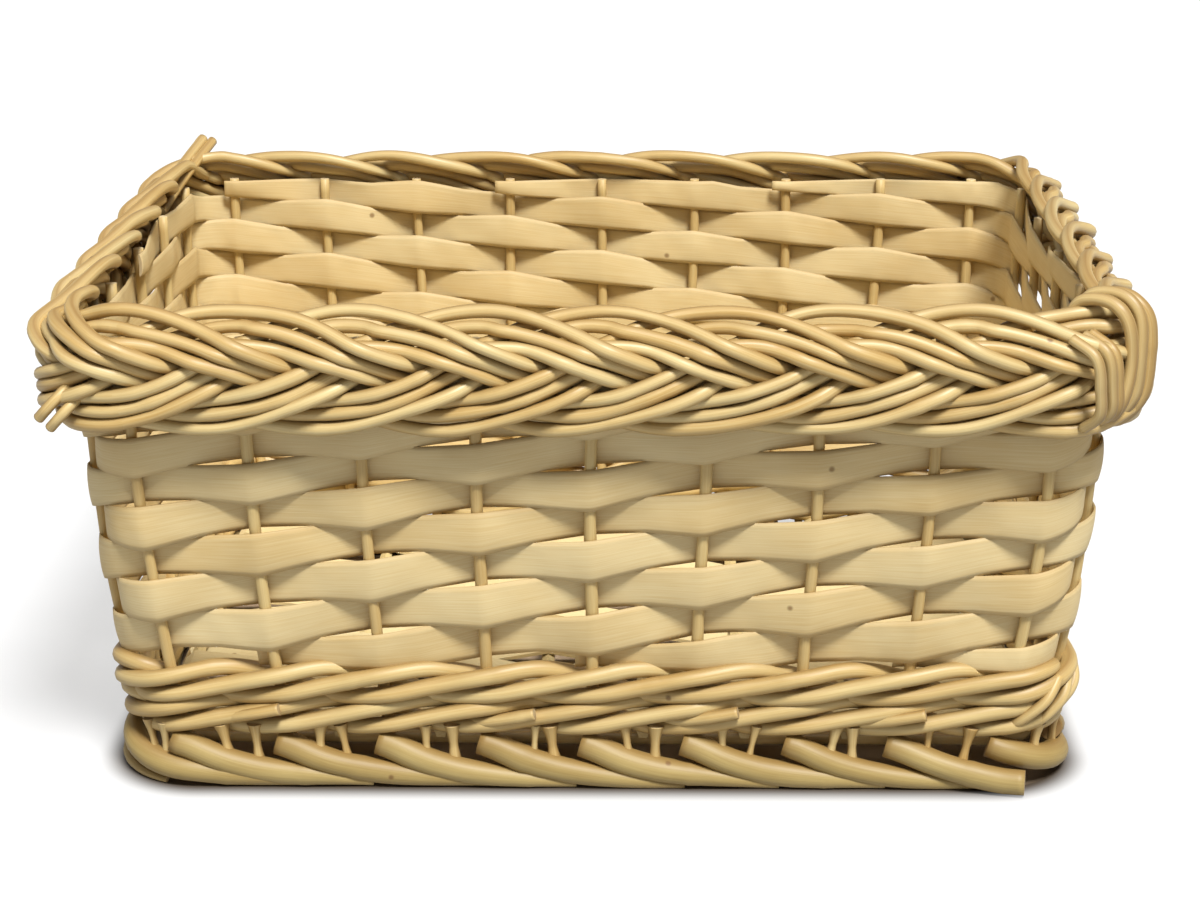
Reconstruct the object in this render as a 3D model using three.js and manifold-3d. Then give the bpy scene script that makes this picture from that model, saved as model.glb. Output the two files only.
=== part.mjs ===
// A rectangular split willow basket: round uprights, wide split willow worked in and out of
// them, a three-rod wale and a foot of bent rods at the bottom, and a plaited border at the rim.
// Millimetres, +Z up, the basket stands on z = 0 with its centre over the origin.
// +X runs along the basket, and the front wall faces -Y.
import * as THREE from 'three';
import { mergeVertices } from 'three/addons/utils/BufferGeometryUtils.js';
import Module from 'manifold-3d';

const wasm = await Module();
wasm.setup();

// The space that touching pieces keep between them.
const clearance = 0.3;

// The wall, measured to the middle line of the uprights at its top.
const wallHalfLength = 202;
const wallHalfWidth = 142;
const wallCornerRadius = 21;
const wallTop = 193;

// How far the wall leans in below its top edge, at the heights where the uprights bend.
const lowBend = 45;
const midBend = 100;
const leanInAtFloor = 19;
const leanInAtLowBend = 10.5;
const leanInAtMidBend = 4;

// Round rods are drawn with this many flats.
const rodSides = 5;

// Uprights.
const frontUprights = 9;
const sideUprights = 5;
const uprightRadius = 2.3;
const uprightTipRadius = 2.1;

// Split willow, worked over one upright and under the next, in strips that climb together. The
// rows get narrower towards the top. A strip lies a little lower outside an upright than inside.
const stripCount = 8;
const stripThickness = 1.5;
const stripStartBay = -1.3;
const lowestRowPitch = 17.8;
const highestRowPitch = 12.6;
const stripBulge = 1;
const stripDrop = 1.4;
const stripNarrowing = 0.8;
const stripCornerRoom = 0.6;
const narrowestStripEnd = 3.5;

// The wale under the split willow: three rods that pass over two uprights and under one.
const waleRodRadius = 2.85;
const waleRounds = 2;
const waleRoundHeight = 14.5;
const waleRodRise = 3.6;
const waleStartUpright = 18;
const waleStepBays = 2;

// The foot: a thick rod on the bottom of each upright slants down past the next one, and is cut
// flat where the basket stands.
const footRodRadius = 4.5;
const footRodButt = 4;
const footRodRun = 78;
const footRodOut = 6;
const footRodSteps = 2;
const footCornerSteps = 6;

// Where a rod of the wale rounds a corner it swings wider past the uprights and between them.
const cornerSwing = 1.4;
const cornerMiddleShare = 0.3;

// The plaited border: five strands of two rods, hung on the outside of the wall top.
const strandsInBorder = 5;
const rodsInStrand = 2;
const borderPeriods = 6;
const borderRodRadius = 2.6;
const borderReach = 18.4;
const borderCrossing = 9.2;
const borderDepth = 5.2;
const borderCentreHeight = 183;
const borderCornerParts = 2;

// The base: sticks across the basket and one long split strip woven to and fro through them.
const baseHeight = 20.8;
const baseSticksInBays = [0.5, 1.5, 2.5];
const baseEndStick = 9;
const baseStickRadius = 2.9;
const baseStickBeyondWall = 1.5;
const baseEndStickTip = 1;
const baseStripWidth = 20;
const baseStripGap = 1.2;
const baseTurnSteps = 4;

const uprightCount = 2 * frontUprights + 2 * sideUprights;
const frontPitch = (2 * (wallHalfLength - wallCornerRadius)) / (frontUprights - 1);
const sidePitch = (2 * (wallHalfWidth - wallCornerRadius)) / (sideUprights - 1);

// How far the wall lies inside its top line at a height, in straight runs between the bends.
function leanIn(z) {
  const heights = [0, lowBend, midBend, wallTop];
  const leans = [leanInAtFloor, leanInAtLowBend, leanInAtMidBend, 0];
  for (let i = 1; i < heights.length; i += 1) {
    if (z <= heights[i] || i === heights.length - 1) {
      const share = (z - heights[i - 1]) / (heights[i] - heights[i - 1]);
      return leans[i - 1] + share * (leans[i] - leans[i - 1]);
    }
  }
  return 0;
}

// The place on the wall's top line at bay t, where each whole number is an upright and t grows
// anticlockwise from the front left corner, and the way out of the wall there.
function topLine(t) {
  const halfX = wallHalfLength - wallCornerRadius;
  const halfY = wallHalfWidth - wallCornerRadius;
  const turn = ((t % uprightCount) + uprightCount) % uprightCount;
  const back = turn >= frontUprights + sideUprights;
  const along = back ? turn - frontUprights - sideUprights : turn;
  const side = back ? -1 : 1;
  let x = halfX;
  let y = -halfY;
  let angle = 0;
  if (along <= frontUprights - 1) {
    x = -halfX + along * frontPitch;
    y = -wallHalfWidth;
    angle = -Math.PI / 2;
  } else if (along <= frontUprights) {
    angle = (along - frontUprights) * (Math.PI / 2);
    x = halfX + wallCornerRadius * Math.cos(angle);
    y = -halfY + wallCornerRadius * Math.sin(angle);
  } else if (along <= frontUprights + sideUprights - 1) {
    x = wallHalfLength;
    y = -halfY + (along - frontUprights) * sidePitch;
  } else {
    angle = (along - frontUprights - sideUprights + 1) * (Math.PI / 2);
    x = halfX + wallCornerRadius * Math.cos(angle);
    y = halfY + wallCornerRadius * Math.sin(angle);
  }
  return {
    x: side * x,
    y: side * y,
    outX: side * Math.cos(angle),
    outY: side * Math.sin(angle),
  };
}

// The point at bay t and height z that lies a distance outside the wall's middle line.
function wallPoint(t, outside, z) {
  const line = topLine(t);
  const lean = leanIn(z);
  const scaleX = (wallHalfLength - lean) / wallHalfLength;
  const scaleY = (wallHalfWidth - lean) / wallHalfWidth;
  return new THREE.Vector3(
    line.x * scaleX + line.outX * outside,
    line.y * scaleY + line.outY * outside,
    z,
  );
}

function wayOut(t) {
  const line = topLine(t);
  return new THREE.Vector3(line.outX, line.outY, 0);
}

// A bay at a corner of the wall, where strips and rods need more steps to go round.
function isCornerBay(bay) {
  const b = ((bay % uprightCount) + uprightCount) % uprightCount;
  const half = frontUprights + sideUprights;
  return b % half === frontUprights - 1 || b % half === half - 1;
}

// A closed body through a row of outlines with the same number of points.
function loft(outlines, isRing) {
  const sides = outlines[0].length;
  const positions = [];
  const faces = [];
  for (const outline of outlines) {
    for (const p of outline) {
      positions.push(p.x, p.y, p.z);
    }
  }
  const spans = isRing ? outlines.length : outlines.length - 1;
  for (let i = 0; i < spans; i += 1) {
    const here = i * sides;
    const next = ((i + 1) % outlines.length) * sides;
    for (let j = 0; j < sides; j += 1) {
      const k = (j + 1) % sides;
      faces.push(here + j, here + k, next + k, here + j, next + k, next + j);
    }
  }
  if (!isRing) {
    const last = (outlines.length - 1) * sides;
    for (let j = 1; j < sides - 1; j += 1) {
      faces.push(0, j + 1, j);
      faces.push(last, last + j, last + j + 1);
    }
  }
  const geometry = new THREE.BufferGeometry();
  geometry.setAttribute('position', new THREE.Float32BufferAttribute(positions, 3));
  geometry.setIndex(faces);
  return geometry;
}

// A round rod through a row of points, each with the wall's way out beside it. One of its flats
// faces down.
function rod(points, outs, radius, sides, isRing) {
  const count = points.length;
  const outlines = points.map((centre, i) => {
    const before = isRing ? points[(i + count - 1) % count] : points[Math.max(i - 1, 0)];
    const after = isRing ? points[(i + 1) % count] : points[Math.min(i + 1, count - 1)];
    const back = new THREE.Vector3().subVectors(centre, before);
    const ahead = new THREE.Vector3().subVectors(after, centre);
    const along = back.normalize().add(ahead.normalize()).normalize();
    const across = outs[i].clone().addScaledVector(along, -outs[i].dot(along)).normalize();
    const other = new THREE.Vector3().crossVectors(along, across);
    const size = typeof radius === 'function' ? radius(i, count) : radius;
    const outline = [];
    for (let j = 0; j < sides; j += 1) {
      const a = (0.25 + (j - 0.5) / sides) * 2 * Math.PI;
      const p = centre.clone().addScaledVector(across, size * Math.cos(a));
      outline.push(p.addScaledVector(other, size * Math.sin(a)));
    }
    return outline;
  });
  return loft(outlines, isRing);
}

// A manifold solid of a closed geometry, and the way back.
function toSolid(geometry) {
  const bare = geometry.clone();
  bare.deleteAttribute('normal');
  bare.deleteAttribute('uv');
  const merged = mergeVertices(bare);
  return new wasm.Manifold(
    new wasm.Mesh({
      numProp: 3,
      vertProperties: new Float32Array(merged.attributes.position.array),
      triVerts: new Uint32Array(merged.index.array),
    }),
  );
}

function toGeometry(solid) {
  const mesh = solid.getMesh();
  const geometry = new THREE.BufferGeometry();
  geometry.setAttribute('position', new THREE.BufferAttribute(mesh.vertProperties, 3));
  geometry.setIndex(new THREE.BufferAttribute(mesh.triVerts, 1));
  return geometry;
}

// Peeled rods are a little yellower than the pale face of the split willow.
const peeledStick = { color: '#d9c48f', roughness: 0.7 };
const peeledRod = { color: '#d9c48f', roughness: 0.65 };
const splitWillow = { color: '#d6c598', roughness: 0.6 };
const borderWillow = { color: '#c9b07a', roughness: 0.55 };

const basket = new THREE.Group();
basket.name = 'split_willow_basket';

function addPiece(name, geometry, look) {
  const faceted = geometry.toNonIndexed();
  faceted.computeVertexNormals();
  const material = new THREE.MeshStandardMaterial({ ...look, metalness: 0 });
  const mesh = new THREE.Mesh(faceted, material);
  mesh.name = name;
  basket.add(mesh);
}

// Heights that follow from the base and the wale.
const waleReach = uprightRadius + clearance + waleRodRadius;
const waleBottom = baseHeight + baseStickRadius + clearance;
const waleCentre = waleBottom + waleRodRadius + waleRodRise;
const waleTop = waleCentre + (waleRounds - 1) * waleRoundHeight + waleRodRise + waleRodRadius;
const splitBottom = waleTop + clearance;

// How long a bay is at the top of the wall, and the bay coordinate some way on from another.
function bayLength(bay) {
  const half = frontUprights + sideUprights;
  const turn = ((bay % half) + half) % half;
  if (isCornerBay(turn)) {
    return (Math.PI / 2) * wallCornerRadius;
  }
  return turn < frontUprights ? frontPitch : sidePitch;
}

function walk(t, distance) {
  let place = t;
  let left = distance;
  let room = (Math.floor(place) + 1 - place) * bayLength(Math.floor(place));
  while (left > room) {
    left -= room;
    place = Math.floor(place) + 1;
    room = bayLength(place);
  }
  return place + left / bayLength(Math.floor(place));
}

// The rod of the foot at upright n: its butt is under the wale, and its tip runs out at the floor.
function footRod(n) {
  const top = waleBottom - clearance - footRodRadius;
  const start = n - footRodButt / bayLength(n - 1);
  const steps = isCornerBay(n) || isCornerBay(n + 1) ? footCornerSteps : footRodSteps;
  const points = [];
  const outs = [];
  for (let i = 0; i <= steps; i += 1) {
    const share = i / steps;
    const t = walk(start, share * footRodRun);
    const z = top - share * (top + footRodRadius);
    points.push(wallPoint(t, share * footRodOut, z));
    outs.push(wayOut(t));
  }
  return rod(points, outs, footRodRadius, rodSides, false);
}

// Uprights: peeled sticks that bend with the wall, each with the foot rod that it stands on.
function upright(n) {
  const heights = [waleBottom - clearance - footRodRadius, lowBend, midBend, wallTop];
  const points = heights.map((z) => wallPoint(n, 0, z));
  const outs = heights.map(() => wayOut(n));
  const radius = (i, count) =>
    uprightRadius + (i / (count - 1)) * (uprightTipRadius - uprightRadius);
  const stick = toSolid(rod(points, outs, radius, rodSides, false));
  const floor = new THREE.BoxGeometry(4 * wallHalfLength, 4 * wallHalfWidth, 4 * footRodRadius);
  floor.translate(0, 0, -2 * footRodRadius);
  return toGeometry(stick.add(toSolid(footRod(n))).subtract(toSolid(floor)));
}

function uprightName(n) {
  const walls = [
    ['front', 0, frontUprights],
    ['right', frontUprights, sideUprights],
    ['back', frontUprights + sideUprights, frontUprights],
    ['left', 2 * frontUprights + sideUprights, sideUprights],
  ];
  const [wall, first] = walls.filter((w) => n >= w[1]).pop();
  return `upright_${wall}_${n - first + 1}`;
}

for (let n = 0; n < uprightCount; n += 1) {
  addPiece(uprightName(n), upright(n), peeledStick);
}

// Split willow. Each strip starts narrow on the wale, climbs one row while the next ones start,
// and lies outside every other upright. Strips above one another take turns.
const baysPerRow = uprightCount / stripCount;
const rows = (2 * (wallTop - splitBottom)) / (lowestRowPitch + highestRowPitch);
const pitchLostPerRow = (lowestRowPitch - highestRowPitch) / rows;
const stripReach = uprightRadius + clearance + stripThickness / 2;
const cornerReach = stripReach + stripCornerRoom;

function besideCorner(n) {
  return isCornerBay(n) || isCornerBay(n - 1);
}

// The height of the line between two rows, some number of rows up the split willow.
function rowLine(row) {
  return splitBottom + row * lowestRowPitch - (row * row * pitchLostPerRow) / 2;
}

function splitStrip(k) {
  const rowAt = (t) => (t - stripStartBay) / baysPerRow - k;
  const isOutside = (n) => (n + k) % 2 === 0;
  let first = Math.ceil(stripStartBay + k * baysPerRow);
  while (isOutside(first) || rowLine(rowAt(first)) < splitBottom + narrowestStripEnd) {
    first += 1;
  }
  let last = first;
  while (rowLine(rowAt(last + 2) - 1) < wallTop - narrowestStripEnd) {
    last += 2;
  }
  const outlines = [];
  const addOutline = (t, outside, bulge, drop) => {
    const high = Math.min(rowLine(rowAt(t)) - drop + bulge, wallTop);
    const low = Math.max(rowLine(rowAt(t) - 1) - drop - bulge, splitBottom);
    const half = stripThickness / 2;
    outlines.push([
      wallPoint(t, outside - half, high),
      wallPoint(t, outside + half, high),
      wallPoint(t, outside + half, low),
      wallPoint(t, outside - half, low),
    ]);
  };
  for (let n = first; n <= last; n += 1) {
    const reach = besideCorner(n) ? cornerReach : stripReach;
    const side = isOutside(n) ? 1 : -1;
    addOutline(n, side * reach, stripBulge, side * stripDrop);
    if (n < last) {
      addOutline(n + 0.5, 0, -stripNarrowing, 0);
    }
  }
  return loft(outlines, false);
}

for (let k = 0; k < stripCount; k += 1) {
  addPiece(`split_strip_${k + 1}`, splitStrip(k), splitWillow);
}

// One rod of a wale: at bay t it lies outside two uprights and then inside one. It comes out
// on one edge of the round and goes in again on the other, from upright first to upright last.
function waleStations(first, last, phase, reach, rise, levelAt) {
  const points = [];
  const outs = [];
  const add = (t, outside, up) => {
    points.push(wallPoint(t, outside, levelAt(t) + up));
    outs.push(wayOut(t));
  };
  for (let n = first; n <= last; n += 1) {
    const step = (((n + phase) % 3) + 3) % 3;
    const past = besideCorner(n) ? reach * cornerSwing : reach;
    const between = isCornerBay(n) ? reach * cornerMiddleShare : 0;
    const more = n < last;
    if (step === 0) {
      add(n, -reach, 0);
      if (more) {
        add(n + 0.5, between, -rise);
      }
    } else if (step === 1) {
      add(n, past, -rise);
      if (more && isCornerBay(n)) {
        add(n + 0.5, past, 0);
      }
    } else {
      add(n, past, rise);
      if (more) {
        add(n + 0.5, between, rise);
      }
    }
  }
  return { points, outs };
}

// The first upright from a given one that a rod of this phase passes on the inside.
function firstInside(from, phase) {
  return from + ((3 - ((from + phase) % 3)) % 3);
}

// The wale steps up to its next round over a few bays, so the rods end before the last step.
function waleRod(j) {
  const first = firstInside(waleStartUpright, j);
  const end = waleStartUpright + waleRounds * uprightCount - waleStepBays;
  const last = firstInside(end - 2, j);
  const levelAt = (t) => {
    const round = Math.floor((t - waleStartUpright) / uprightCount);
    const intoRound = t - waleStartUpright - round * uprightCount;
    const step = Math.max(0, (intoRound - (uprightCount - waleStepBays)) / waleStepBays);
    return waleCentre + (round + step) * waleRoundHeight;
  };
  const { points, outs } = waleStations(first, last, j, waleReach, waleRodRise, levelAt);
  return rod(points, outs, waleRodRadius, rodSides, false);
}

for (let j = 0; j < 3; j += 1) {
  addPiece(`wale_rod_${j + 1}`, waleRod(j), peeledRod);
}

// The border's middle line is a rounded rectangle outside the top of the wall.
const borderThickness = 2 * (borderDepth + borderRodRadius);
const borderOffset = stripReach + stripThickness / 2 + clearance + borderThickness / 2;

function borderLine(distance) {
  const halfX = wallHalfLength - wallCornerRadius;
  const halfY = wallHalfWidth - wallCornerRadius;
  const radius = wallCornerRadius + borderOffset;
  const quarter = (Math.PI / 2) * radius;
  const half = 2 * halfX + 2 * halfY + 2 * quarter;
  const turn = ((distance % (2 * half)) + 2 * half) % (2 * half);
  const side = turn >= half ? -1 : 1;
  const d = turn >= half ? turn - half : turn;
  let angle = -Math.PI / 2;
  let x = -halfX + d;
  let y = -halfY;
  if (d > 2 * halfX) {
    x = halfX;
    angle = Math.min((d - 2 * halfX) / radius - Math.PI / 2, 0);
  }
  if (d > 2 * halfX + quarter) {
    y = -halfY + (d - 2 * halfX - quarter);
  }
  if (y > halfY) {
    angle = (y - halfY) / radius;
    y = halfY;
  }
  return {
    x: side * (x + radius * Math.cos(angle)),
    y: side * (y + radius * Math.sin(angle)),
    outX: side * Math.cos(angle),
    outY: side * Math.sin(angle),
    around: 2 * half,
  };
}

// A strand turns round an edge close to the wall, passes over two others as far as the middle,
// goes under the next two and turns round the other edge: six steps to a period.
const plaitSteps = [
  { across: borderReach, out: 0 },
  { across: borderCrossing, out: borderDepth },
  { across: -borderCrossing, out: -borderDepth },
  { across: -borderReach, out: 0 },
  { across: -borderCrossing, out: borderDepth },
  { across: borderCrossing, out: -borderDepth },
];

// Whether the border goes round a corner between two distances along it.
function turnsBetween(from, to) {
  const a = borderLine(from);
  const b = borderLine(to);
  return Math.hypot(a.outX - b.outX, a.outY - b.outY) > 0;
}

// A strand's middle line, laid out flat. The strands follow one another at even distances, and a
// step that goes round a corner has a bend more.
function strandStations(strand) {
  const count = borderPeriods * plaitSteps.length;
  const stepLength = borderLine(0).around / count;
  const start = (strand / strandsInBorder) * plaitSteps.length * stepLength;
  const stations = [];
  for (let i = 0; i < count; i += 1) {
    const here = plaitSteps[i % plaitSteps.length];
    const next = plaitSteps[(i + 1) % plaitSteps.length];
    const from = start + i * stepLength;
    const parts = turnsBetween(from, from + stepLength) ? borderCornerParts : 1;
    for (let q = 0; q < parts; q += 1) {
      const share = q / parts;
      stations.push({
        distance: from + share * stepLength,
        across: THREE.MathUtils.lerp(here.across, next.across, share),
        out: THREE.MathUtils.lerp(here.out, next.out, share),
      });
    }
  }
  return stations;
}

// The direction from one station to the next on the flat.
function flatWay(from, to) {
  const around = borderLine(0).around;
  const ahead = (to.distance - from.distance + around) % around;
  return new THREE.Vector2(ahead, to.across - from.across).normalize();
}

function borderRod(strand, place) {
  const stations = strandStations(strand);
  const count = stations.length;
  const shift = (place - (rodsInStrand - 1) / 2) * (2 * borderRodRadius + clearance);
  const points = [];
  const outs = [];
  stations.forEach((station, i) => {
    const before = flatWay(stations[(i + count - 1) % count], station);
    const after = flatWay(station, stations[(i + 1) % count]);
    const along = before.clone().add(after).normalize();
    const beside = new THREE.Vector2(-along.y, along.x);
    const mitre = shift / along.dot(after);
    const line = borderLine(station.distance + beside.x * mitre);
    const height = borderCentreHeight + station.across + beside.y * mitre;
    const out = new THREE.Vector3(line.outX, line.outY, 0);
    const centre = new THREE.Vector3(line.x, line.y, height);
    points.push(centre.addScaledVector(out, station.out));
    outs.push(out);
  });
  return rod(points, outs, borderRodRadius, rodSides, true);
}

for (let s = 0; s < strandsInBorder; s += 1) {
  for (let r = 0; r < rodsInStrand; r += 1) {
    addPiece(`border_strand_${s + 1}_rod_${r + 1}`, borderRod(s, r), borderWillow);
  }
}

// Base sticks lie across the basket, and end between the uprights, under the wale.
const baseHalfWidth = wallHalfWidth - leanIn(baseHeight);
const baseScale = (wallHalfLength - leanIn(baseHeight)) / wallHalfLength;
const innerSticks = baseSticksInBays.map((bay) => bay * frontPitch * baseScale);
const endStick = ((frontUprights - 1) / 2) * frontPitch * baseScale + baseEndStick;
const stickPlaces = [...innerSticks, endStick].flatMap((x) => [-x, x]).sort((p, q) => p - q);

// The base strip makes as many passes as fit between the lowest rods of the wale, and the end
// sticks are as long as the passes are wide together.
const basePassPitch = baseStripWidth + baseStripGap;
const insideWale = baseHalfWidth - waleReach - waleRodRadius - clearance;
const basePasses = Math.floor((2 * insideWale + baseStripGap) / basePassPitch);
const wovenHalfWidth = (basePasses * basePassPitch - baseStripGap) / 2;

function baseStick(x) {
  const isEnd = Math.abs(x) > endStick - clearance;
  const reach = isEnd ? wovenHalfWidth + baseEndStickTip : baseHalfWidth + baseStickBeyondWall;
  const stick = new THREE.CylinderGeometry(baseStickRadius, baseStickRadius, 2 * reach, rodSides);
  stick.translate(x, 0, baseHeight);
  return stick;
}

stickPlaces.forEach((x, i) => {
  addPiece(`base_stick_${i + 1}`, baseStick(x), peeledStick);
});

// The base strip goes under and over the sticks, turns round the end stick and comes back.
function baseWeave() {
  const reach = baseStickRadius + clearance + stripThickness / 2;
  const half = stripThickness / 2;
  const outlines = [];
  const add = (x, y, z, normalX, normalZ) => {
    const side = baseStripWidth / 2;
    const corner = (dy, dn) =>
      new THREE.Vector3(x + dn * normalX, y + dy, z + dn * normalZ);
    const under = [corner(-side, -half), corner(side, -half)];
    outlines.push([...under, corner(side, half), corner(-side, half)]);
  };
  for (let p = 0; p < basePasses; p += 1) {
    const y = (p - (basePasses - 1) / 2) * basePassPitch;
    const toRight = p % 2 === 0;
    const places = toRight ? stickPlaces : [...stickPlaces].reverse();
    const facing = toRight ? 1 : -1;
    places.forEach((x, i) => {
      const over = i % 2 === 0 ? 1 : -1;
      add(x, y, baseHeight + over * reach, 0, facing);
    });
    const end = places[places.length - 1];
    for (let q = 1; q < baseTurnSteps && p < basePasses - 1; q += 1) {
      const sin = Math.sin((Math.PI * q) / baseTurnSteps);
      const cos = Math.cos((Math.PI * q) / baseTurnSteps);
      const yTurn = y + (basePassPitch * q) / baseTurnSteps;
      add(end + facing * reach * sin, yTurn, baseHeight - reach * cos, -sin, facing * cos);
    }
  }
  return loft(outlines, false);
}

addPiece('base_weave', baseWeave(), splitWillow);

export default basket;
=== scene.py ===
# %% [markdown]
# A rectangular basket of split willow, photographed from a little above its long front wall.
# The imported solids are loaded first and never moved. Each woven piece is then made again from the
# same few sizes, finer and less even, and stands for its solid.

# %% Load the solids
import math
import bpy
import numpy as np
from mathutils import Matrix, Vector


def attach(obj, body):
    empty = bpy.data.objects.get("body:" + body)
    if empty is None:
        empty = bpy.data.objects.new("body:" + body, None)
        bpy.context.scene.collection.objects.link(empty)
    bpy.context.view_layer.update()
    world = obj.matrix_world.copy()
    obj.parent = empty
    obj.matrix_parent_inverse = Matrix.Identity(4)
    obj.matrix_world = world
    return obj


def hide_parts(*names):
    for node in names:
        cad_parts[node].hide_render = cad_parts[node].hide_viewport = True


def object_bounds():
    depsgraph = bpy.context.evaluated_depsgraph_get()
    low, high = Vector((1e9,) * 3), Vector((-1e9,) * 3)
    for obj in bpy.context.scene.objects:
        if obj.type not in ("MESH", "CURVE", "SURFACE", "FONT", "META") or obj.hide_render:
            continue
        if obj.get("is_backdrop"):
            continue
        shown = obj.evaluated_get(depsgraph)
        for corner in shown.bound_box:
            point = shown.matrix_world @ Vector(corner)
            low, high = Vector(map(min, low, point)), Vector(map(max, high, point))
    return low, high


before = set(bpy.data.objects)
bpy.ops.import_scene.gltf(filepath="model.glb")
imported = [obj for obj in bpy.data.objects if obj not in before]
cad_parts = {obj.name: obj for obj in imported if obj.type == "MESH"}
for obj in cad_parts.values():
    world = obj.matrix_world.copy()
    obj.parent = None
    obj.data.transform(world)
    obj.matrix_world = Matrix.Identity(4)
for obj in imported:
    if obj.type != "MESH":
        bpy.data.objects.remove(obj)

solid_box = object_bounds()
print("the solids fill", [tuple(round(v, 4) for v in corner) for corner in solid_box])

# %% [markdown]
# The camera stands about 1.2 m in front of the basket and looks down at it by 19 degrees. Its
# place was worked out from the uprights, the rim and the foot in the photograph, so the lens is a
# result too: a long one, which keeps the far wall nearly as wide as the near one.

# %% Camera
camera_target = np.array([0.0021, 0.0, 0.0971])
camera_distance = 1.172
camera_height_angle = math.radians(18.62)
camera_side_angle = math.radians(0.98)
camera_roll = math.radians(0.15)


def show(name, data):
    """A new object of the scene, for a mesh, a lamp or a camera."""
    made = bpy.data.objects.new(name, data)
    bpy.context.scene.collection.objects.link(made)
    return made


camera_data = bpy.data.cameras.new("camera")
camera_data.sensor_width = 36.0
camera_data.lens = 78.0
camera_data.clip_start = 0.05
camera = show("camera", camera_data)
back = np.array([
    math.sin(camera_side_angle) * math.cos(camera_height_angle),
    -math.cos(camera_side_angle) * math.cos(camera_height_angle),
    math.sin(camera_height_angle),
])
camera.location = camera_target + camera_distance * back
camera.rotation_euler = (math.pi / 2 - camera_height_angle, camera_roll, camera_side_angle)
bpy.context.scene.camera = camera
print("camera at", [round(v, 3) for v in camera.location])

# %% [markdown]
# The wall is a rounded rectangle that leans in towards the base. A place on it is given by its
# bay, its distance outside the middle line of the uprights, and its height, in millimetres.
# Bays count the uprights anticlockwise from the front left corner, so a whole number is an
# upright. With that, a strip or a rod is only a bay coordinate that runs on and on. Plain x and y
# would need a case for each wall and each corner in every step below.

# %% The wall
front_uprights, side_uprights = 9, 5
half_count = front_uprights + side_uprights
upright_count = 2 * half_count
wall_half_length, wall_half_width, wall_corner, wall_top = 202.0, 142.0, 21.0, 193.0
straight_half_length = wall_half_length - wall_corner
straight_half_width = wall_half_width - wall_corner
front_pitch = 2 * straight_half_length / (front_uprights - 1)
side_pitch = 2 * straight_half_width / (side_uprights - 1)
corner_bay = math.pi / 2 * wall_corner
floor_lean, lean_height, lean_power = 19.0, 205.0, 2.39


def lean_in(z):
    """How far the wall lies inside its top line: floor_lean * (1 - z / lean_height) ** power."""
    return floor_lean * np.clip(1 - np.asarray(z) / lean_height, 0, 1) ** lean_power


def top_line(t):
    """x, y and the way out at bay t: straight runs between quarter circles, one bay for each."""
    turn = np.mod(t, upright_count)
    side = np.where(turn >= half_count, -1.0, 1.0)
    a = np.mod(turn, half_count)
    front, right = front_uprights - 1, half_count - 1
    angle = np.interp(a, [0, front, front + 1, right, right + 1],
                      [-np.pi / 2, -np.pi / 2, 0, 0, np.pi / 2])
    x = np.interp(a, [0, front], [-straight_half_length, straight_half_length])
    y = np.interp(a, [front + 1, right], [-straight_half_width, straight_half_width])
    out_x, out_y = np.cos(angle), np.sin(angle)
    x, y = x + wall_corner * out_x, y + wall_corner * out_y
    return side * x, side * y, side * out_x, side * out_y


def wall_point(t, outside, z):
    """The point at bay t, some way outside the middle line, at height z."""
    x, y, out_x, out_y = top_line(t)
    lean = lean_in(z)
    px = x * (wall_half_length - lean) / wall_half_length + out_x * outside
    py = y * (wall_half_width - lean) / wall_half_width + out_y * outside
    return np.stack(np.broadcast_arrays(px, py, z), -1)


def way_out(t):
    """The level direction out of the wall at bay t."""
    _, _, out_x, out_y = top_line(t)
    return np.stack([out_x, out_y, np.zeros_like(out_x)], -1)


def drift(seed, place, length):
    """A smooth random value, about -1 to 1, that changes over a length: a sum of five sines."""
    rng = np.random.default_rng(seed)
    waves = rng.uniform(0.4, 1.5, 5) / length
    phases = rng.uniform(0, 2 * np.pi, 5)
    return np.sin(2 * np.pi * np.multiply.outer(place, waves) + phases).sum(-1) / 2.4


print("uprights", upright_count, "front pitch", front_pitch, "side pitch", side_pitch)

# %% [markdown]
# Everything here is a surface on a grid: sections along a path, and points round each section.
# One function turns such a grid into a closed mesh. It keeps the way along the piece and round it
# in the UV map, both in metres, because willow's grain follows the rod. Each piece also gets a
# tone of its own, since no two rods are the same colour. A curve with a bevel would be shorter to
# write, but it gives no such map, and a flat strip needs a section that changes.

# %% Grid to mesh
mm = 0.001
pieces = []


def grid_quads(n, m, ring):
    """Corner numbers of the quads between n sections of m points, and their places i and j."""
    i = np.arange(n if ring else n - 1)[:, None]
    j = np.arange(m)[None, :]
    here, there, side = i * m, ((i + 1) % n) * m, (j + 1) % m
    quads = np.stack(np.broadcast_arrays(here + j, here + side, there + side, there + j), -1)
    return quads.reshape(-1, 4), i, j


def grain_map(grid, along, i, j):
    """UV for the corners of the quads: the way round a section and the way along the piece."""
    middle = grid[len(grid) // 2]
    girth = np.linalg.norm(np.diff(middle, axis=0, append=middle[:1]), axis=1)
    around = np.concatenate([[0], np.cumsum(girth)]) * mm
    length = np.concatenate([along, [2 * along[-1] - along[-2]]]) * mm
    u = np.stack(np.broadcast_arrays(around[j], around[j + 1], around[j + 1], around[j]), -1)
    v = np.stack(np.broadcast_arrays(length[i], length[i], length[i + 1], length[i + 1]), -1)
    return np.stack(np.broadcast_arrays(u, v), -1).reshape(-1, 2)


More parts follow.
